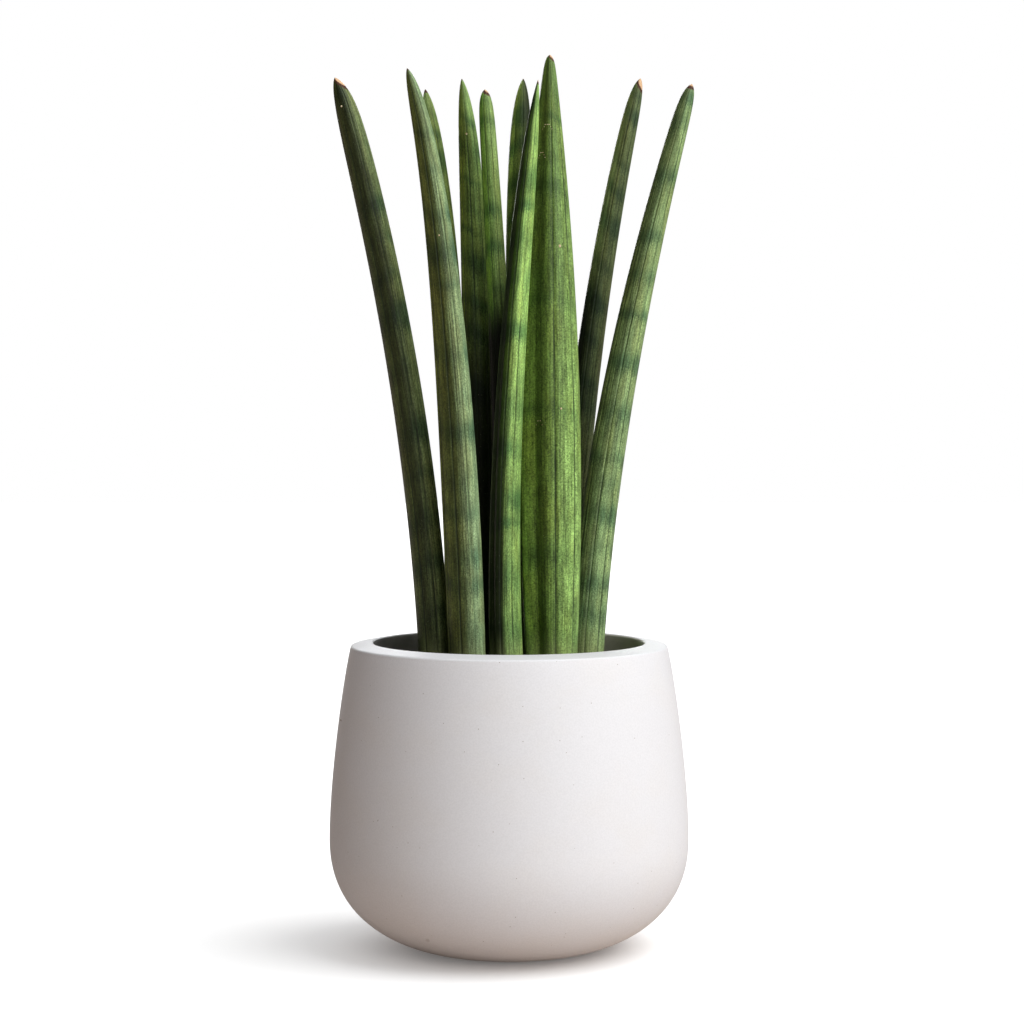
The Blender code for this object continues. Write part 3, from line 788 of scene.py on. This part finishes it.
mix = {
    "mound": 3.0,
    "wave": 1.2,
    "waveTurn": (0.11, 0.09),
    "waveStart": (0.7, -0.4),
    "wallGap": 0.4,
    "floorGap": 0.3,
    "sideDrop": 2.0,            # the side starts this far below the top
    "bottomRing": 20.0,
    "aroundSteps": 180,
    "ringSteps": 46,
    "wallSteps": 20,
    "seed": 5,
    "lumps": ((0.35, 0.25), (0.7, 0.175), (1.3, 0.125)),    # how close together, how high
    "lumpTurns": 4,
    "calmEdge": 4.0,
    "crumb": ((0.5, 0.5, 0.5), 4.0, 0.65),
    "fibre": ((0.25, 1.6, 0.6), 3.0, 0.6),
    "fibreReach": (0.6, 0.75, 0.0, 0.6),
    "dark": tone(0.018, 0.012, 0.008),
    "light": tone(0.085, 0.055, 0.034),
    "fibreTone": tone(0.17, 0.115, 0.07),
    "roughness": 0.95,
    "relief": (0.8, 0.0012),
}


def mixHeight(x, y, edge):
    # height of the mix above its level, with a low mound and slow waves
    spread = np.minimum(np.hypot(x, y) / edge, 1.0)
    (turnX, turnY), (startX, startY) = mix["waveTurn"], mix["waveStart"]
    wave = np.sin(turnX * x + startX) * np.cos(turnY * y + startY)
    return (mix["mound"] + mix["wave"] * wave) * (1.0 - spread * spread)


def mixMaterial():
    material, tree, shader = startMaterial("pottingMix")
    place = objectPlace(tree)
    crumb = cloud(tree, place, mix["crumb"])
    fibre = cloud(tree, place, mix["fibre"])
    color = mixTones(tree, remap(tree, crumb, *midNoise), mix["dark"], mix["light"])
    color = mixTones(tree, remap(tree, fibre, *mix["fibreReach"]), color, mix["fibreTone"])
    setSkin(tree, shader, color, mix["roughness"], crumb, *mix["relief"])
    return material


def mixEdge(wall):
    return float(np.interp(soilLevel, wall[::-1, 1], wall[::-1, 0])) - mix["wallGap"]


def makeMix():
    wall = innerWall(mix["wallSteps"])
    edge = mixEdge(wall)
    side = wall[wall[:, 1] < soilLevel - mix["sideDrop"]] + np.array((-mix["wallGap"], mix["floorGap"]))
    bottom = side[-1, 1]
    radii = np.linspace(0.0, edge, mix["ringSteps"] + 1)[1:]
    level = np.stack((radii, np.full(len(radii), soilLevel)), 1)
    rings = turned(np.vstack((level, side, [(mix["bottomRing"], bottom)])), mix["aroundSteps"])
    top = rings[:len(radii)]
    x, y = top[:, :, 0], top[:, :, 1]
    # uneven lumps, calmed at the wall
    rng = np.random.default_rng(mix["seed"])
    rough = np.zeros_like(x)
    for size, amount in mix["lumps"]:
        for _ in range(mix["lumpTurns"]):
            angle = rng.uniform(0.0, math.pi)
            phase = rng.uniform(*anyTurn)
            rough += amount * np.sin(size * (x * math.cos(angle) + y * math.sin(angle)) + phase)
    fade = 1.0 - smoothStep(np.hypot(x, y), edge - mix["calmEdge"], edge)
    top[:, :, 2] += mixHeight(x, y, edge) + rough * fade
    middle = soilLevel + float(mixHeight(0.0, 0.0, edge))
    mesh = gridMesh("potting_mix", rings, (0, 0, middle), (0, 0, bottom))
    finishPiece(mesh, "potting_mix", "soil", [mixMaterial()])
    return edge


crumbs = {
    "count": 620,
    "sizes": (0.9, 3.6),
    "sizePower": 2.4,           # most of them are small
    "wallClear": 3.0,
    "leafClear": 0.6,
    "farthest": 0.8,            # share of its size that a crumb reaches from its middle
    "sink": 0.25,               # share of the height that lifts a crumb's middle above the mix
    "tilt": 0.5,                # radians
    "uneven": (0.80, 1.15),
    "seed": 11,
    "pale": 0.05,               # share of pale mineral grains
    "grainShape": ((0.8, 0.8, 0.8), (1.1, 1.1, 1.1)),
    "chipShape": ((0.9, 0.5, 0.25), (1.5, 0.9, 0.55)),
    "texture": ((1.6, 1.6, 1.6), 3.0, 0.65),
    "barkDark": tone(0.030, 0.018, 0.011),
    "barkLight": tone(0.150, 0.085, 0.045),
    "barkLift": (0.5, 1.3),
    "mineral": tone(0.50, 0.47, 0.40),
    "mineralValue": 2.0,        # a bark chip has a value up to 1
    "mineralEdge": (1.4, 1.6),
    "roughness": (0.3, 0.7, 0.75, 0.95),
    "shine": 0.2,
}


def crumbMaterial():
    material, tree, shader = startMaterial("barkCrumbs")
    kind = readAttribute(tree, "crumb")
    grain = cloud(tree, objectPlace(tree), crumbs["texture"])
    light = times(tree, kind, remap(tree, grain, *midNoise, *crumbs["barkLift"]))
    bark = mixTones(tree, light, crumbs["barkDark"], crumbs["barkLight"])
    color = mixTones(tree, remap(tree, kind, *crumbs["mineralEdge"]), bark, crumbs["mineral"])
    setSkin(tree, shader, color, remap(tree, grain, *crumbs["roughness"]))
    shader.inputs["Specular IOR Level"].default_value = crumbs["shine"]
    return material


def crumbTemplate():
    ball = bmesh.new()
    bmesh.ops.create_icosphere(ball, subdivisions=2, radius=0.5)
    corners = np.array([vert.co[:] for vert in ball.verts])
    sides = np.array([[vert.index for vert in face.verts] for face in ball.faces])
    ball.free()
    return corners, sides


def makeCrumbs(edge):
    rng = np.random.default_rng(crumbs["seed"])
    feet = [(np.array(leaf["foot"]), 0.5 * leaf["thick"][2] * leafForm["rootShare"]) for leaf in leaves]
    corners, sides = crumbTemplate()
    smallest, largest = crumbs["sizes"]
    tilt = crumbs["tilt"]
    points, faces, tones = [], [], []
    while len(tones) < crumbs["count"]:
        radius = (edge - crumbs["wallClear"]) * math.sqrt(rng.random())
        angle = rng.uniform(0.0, fullTurn)
        spot = np.array((radius * math.cos(angle), radius * math.sin(angle)))
        size = smallest + (largest - smallest) * rng.random() ** crumbs["sizePower"]
        clear = size * crumbs["farthest"] + crumbs["leafClear"]
        if any(np.linalg.norm(spot - foot) < half + clear for foot, half in feet):
            continue
        pale = rng.random() < crumbs["pale"]
        low, high = crumbs["grainShape"] if pale else crumbs["chipShape"]
        shape = rng.uniform(low, high)
        turn = Euler(rng.uniform(-tilt, tilt, 2).tolist() + [rng.uniform(*anyTurn)]).to_matrix()
        height = soilLevel + float(mixHeight(spot[0], spot[1], edge)) + crumbs["sink"] * size * shape[2]
        uneven = corners * rng.uniform(*crumbs["uneven"], (len(corners), 1)) * shape * size
        faces.append(sides + len(corners) * len(tones))
        points.append(uneven @ np.array(turn).T + (*spot, height))
        tones.append(crumbs["mineralValue"] if pale else rng.random())
    mesh = bpy.data.meshes.new("mix_crumbs")
    mesh.from_pydata((np.vstack(points) * mm).tolist(), [], np.vstack(faces).tolist())
    mesh.update()
    putAttribute(mesh, "crumb", np.repeat(tones, len(corners)))
    return finishPiece(mesh, "mix_crumbs", None, [crumbMaterial()])


mixRadius = makeMix()
crumbPiece = makeCrumbs(mixRadius)
print("potting mix filled in, crumbs:", len(crumbPiece.data.polygons), "faces")


# floor, light and camera

studio = {
    # suns: strength, degrees across, degrees from the front towards the right, degrees up, tone
    "plantSuns": {
        "softKey": (1.50, 60.0, 42.0, 27.0, (0.95, 0.985, 1.0)),
        "rightEdge": (0.12, 50.0, 95.0, 25.0, (1.0, 1.0, 1.0)),
        "topSoft": (1.56, 60.0, 50.0, 45.0, (1.0, 1.0, 1.0)),
        "backSoft": (1.35, 30.0, -172.0, 12.0, (1.0, 1.0, 1.0)),        # so that the back isn't dark
        "overhead": (0.80, 40.0, 75.0, 76.0, (1.0, 1.0, 1.0)),          # for the rim
    },
    "floorSuns": {
        "floorSun": (2.3, 60.0, 80.0, 52.0, (1.0, 1.0, 1.0)),
        "floorDome": (2.3, 170.0, 0.0, 90.0, (1.0, 1.0, 1.0)),
    },
    "skyTone": tone(0.5, 0.52, 0.55),
    "skyStrength": 0.10,
    "floorTone": tone(0.95, 0.95, 0.95),        # floor that the camera sees
    "floorGlow": 0.09,
    "floorDrop": 0.0002,                        # metres below the pot
    "tableTone": tone(0.55, 0.462, 0.408),      # floor that lights the pot from below
    "tableGlow": 0.07,
    "tableDrop": 0.0006,
    "floorHalf": 6.0,                           # metres
    "floorRoughness": 0.9,
}

photo = {
    "distance": 1.5,            # metres from the pot's axis
    "height": 0.3091,
    "down": 2.547,              # degrees below level
    "focalPixels": 2703.7,
    "frame": 1024,
    "middleX": 509.1,           # pixel column of the pot's axis
    "sensorWidth": 36.0,
}


def makeWorld():
    world = bpy.data.worlds.new("softStudio")
    bpy.context.scene.world = world
    world.use_nodes = True
    tree = world.node_tree
    tree.nodes.clear()
    sky = {"Color": studio["skyTone"], "Strength": studio["skyStrength"]}
    lighting = addNode(tree, "ShaderNodeBackground", sky).outputs[0]
    backdrop = addNode(tree, "ShaderNodeBackground", {"Color": noTint, "Strength": 1.0}).outputs[0]
    seen = addNode(tree, "ShaderNodeLightPath").outputs["Is Camera Ray"]
    both = addNode(tree, "ShaderNodeMixShader", {0: seen, 1: lighting, 2: backdrop})
    output = addNode(tree, "ShaderNodeOutputWorld")
    tree.links.new(both.outputs[0], output.inputs["Surface"])


def makeSun(name, strength, spread, turn, rise, color, receivers):
    lamp = bpy.data.lights.new(name, "SUN")
    lamp.energy = strength
    lamp.color = color
    lamp.angle = math.radians(spread)
    holder = bpy.data.objects.new(name, lamp)
    bpy.context.scene.collection.objects.link(holder)
    a, e = math.radians(turn), math.radians(rise)
    toward = Vector((math.sin(a) * math.cos(e), -math.cos(a) * math.cos(e), math.sin(e)))
    holder.rotation_mode = "QUATERNION"
    holder.rotation_quaternion = toward.to_track_quat("Z", "Y")
    holder.light_linking.receiver_collection = receivers


def makeFloor(name, paint, drop, glow, collection):
    bm = bmesh.new()
    bmesh.ops.create_grid(bm, x_segments=8, y_segments=8, size=studio["floorHalf"])
    mesh = bpy.data.meshes.new(name)
    bm.to_mesh(mesh)
    bm.free()
    material, tree, shader = startMaterial(name)
    shader.inputs["Base Color"].default_value = paint
    shader.inputs["Emission Color"].default_value = paint
    shader.inputs["Emission Strength"].default_value = glow
    shader.inputs["Roughness"].default_value = studio["floorRoughness"]
    shader.inputs["Specular IOR Level"].default_value = 0.0
    mesh.materials.append(material)
    floor = bpy.data.objects.new(name, mesh)
    floor.location.z = -drop
    bpy.context.scene.collection.objects.link(floor)
    collection.objects.link(floor)
    floor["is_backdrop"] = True
    return floor


def makeStudio():
    # the shown floor has suns of its own, so that it stays white; the table below it lights the plant
    lit = bpy.data.collections.new("litByKey")
    shown = bpy.data.collections.new("shownFloor")
    floor = makeFloor("shown_floor", studio["floorTone"], studio["floorDrop"], studio["floorGlow"], shown)
    floor.visible_diffuse = False
    floor.visible_glossy = False
    floor.visible_shadow = False
    table = makeFloor("table", studio["tableTone"], studio["tableDrop"], studio["tableGlow"], lit)
    table.visible_camera = False
    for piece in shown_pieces():
        lit.objects.link(piece)
    for suns, receivers in ((studio["plantSuns"], lit), (studio["floorSuns"], shown)):
        for name, values in suns.items():
            makeSun(name, *values, receivers)


def makeCamera():
    lens = bpy.data.cameras.new("photoCamera")
    lens.sensor_width = photo["sensorWidth"]
    lens.lens = lens.sensor_width * photo["focalPixels"] / photo["frame"]
    lens.shift_x = (0.5 * photo["frame"] - photo["middleX"]) / photo["frame"]
    holder = bpy.data.objects.new("photoCamera", lens)
    holder.location = (0.0, -photo["distance"], photo["height"])
    holder.rotation_euler = (math.radians(90.0 - photo["down"]), 0.0, 0.0)
    bpy.context.scene.collection.objects.link(holder)
    bpy.context.scene.camera = holder


makeWorld()
makeStudio()
makeCamera()
view = bpy.context.scene.view_settings
view.view_transform = "Standard"
view.look = "None"
print("studio set")
